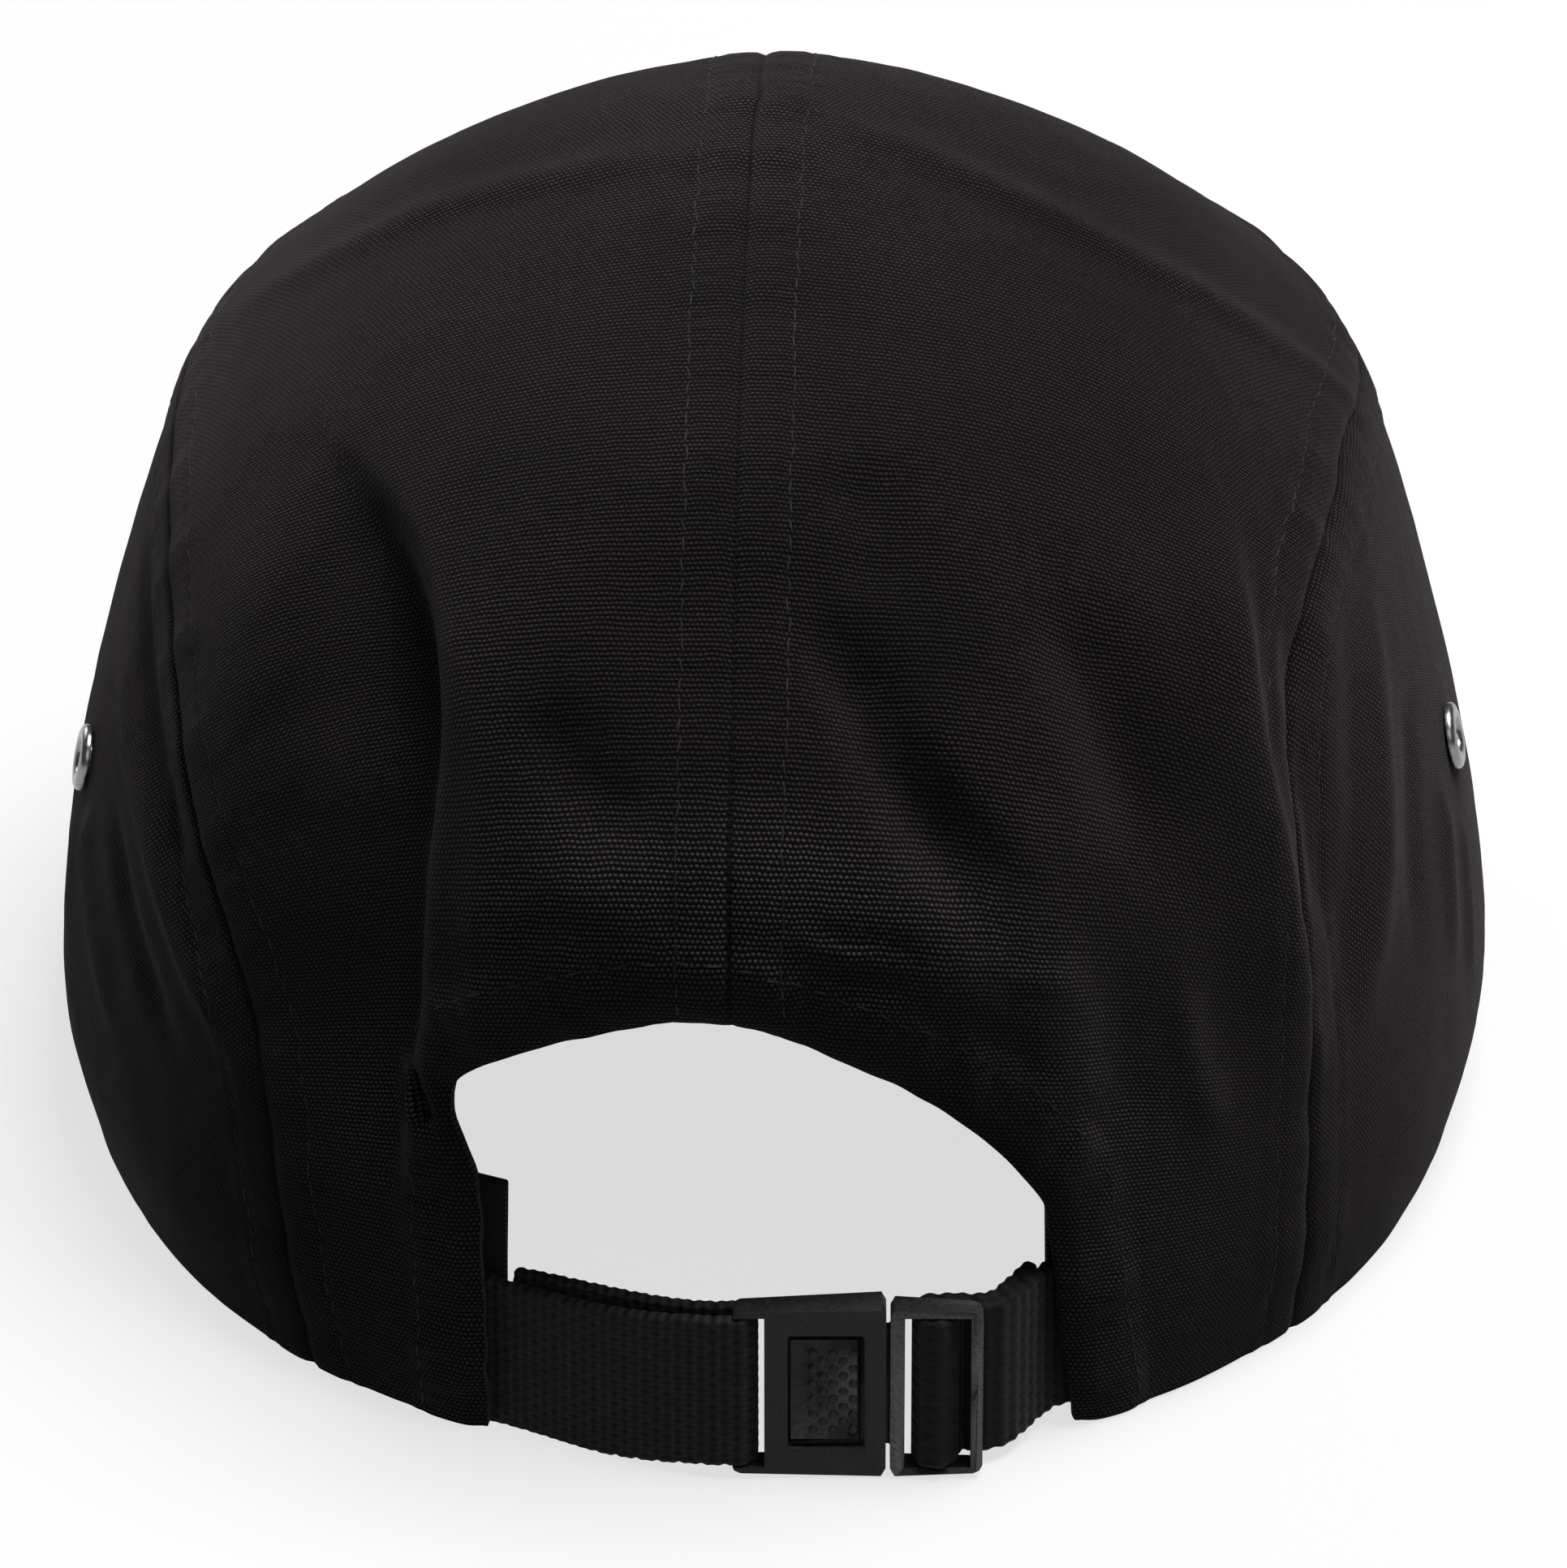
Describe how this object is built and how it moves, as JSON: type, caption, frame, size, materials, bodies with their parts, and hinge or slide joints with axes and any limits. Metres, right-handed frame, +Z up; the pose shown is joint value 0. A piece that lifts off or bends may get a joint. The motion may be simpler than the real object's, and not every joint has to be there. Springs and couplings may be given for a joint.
{
  "type": "five panel cap",
  "caption": "Black canvas camp cap with a flat peak, an arched opening at the back and a webbing strap with a side-release buckle.",
  "frame": {"origin": "middle of the cap's box in plan, on the surface that the rim rests on", "axes": "+Z up, -Y towards the peak, +Y towards the back strap, +X towards the wearer's left"},
  "size_m": [0.178, 0.2684, 0.1269],
  "materials": {
    "canvas": "black cotton canvas, plain weave",
    "lining": "black cotton twill tape",
    "webbing": "black ribbed nylon webbing",
    "buckle": "fine grained black acetal",
    "eyelet": "gunmetal plating"
  },
  "bodies": {
    "root": {"back_panel_left": "canvas", "back_panel_right": "canvas", "side_panel_left": "canvas", "side_panel_right": "canvas", "front_panel": "canvas", "peak": "canvas", "sweatband": "lining", "webbing_left": "webbing", "webbing_right": "webbing", "buckle_socket": "buckle", "buckle_plug": "buckle", "eyelet_left": "eyelet", "eyelet_right": "eyelet"}
  },
  "joints": []
}
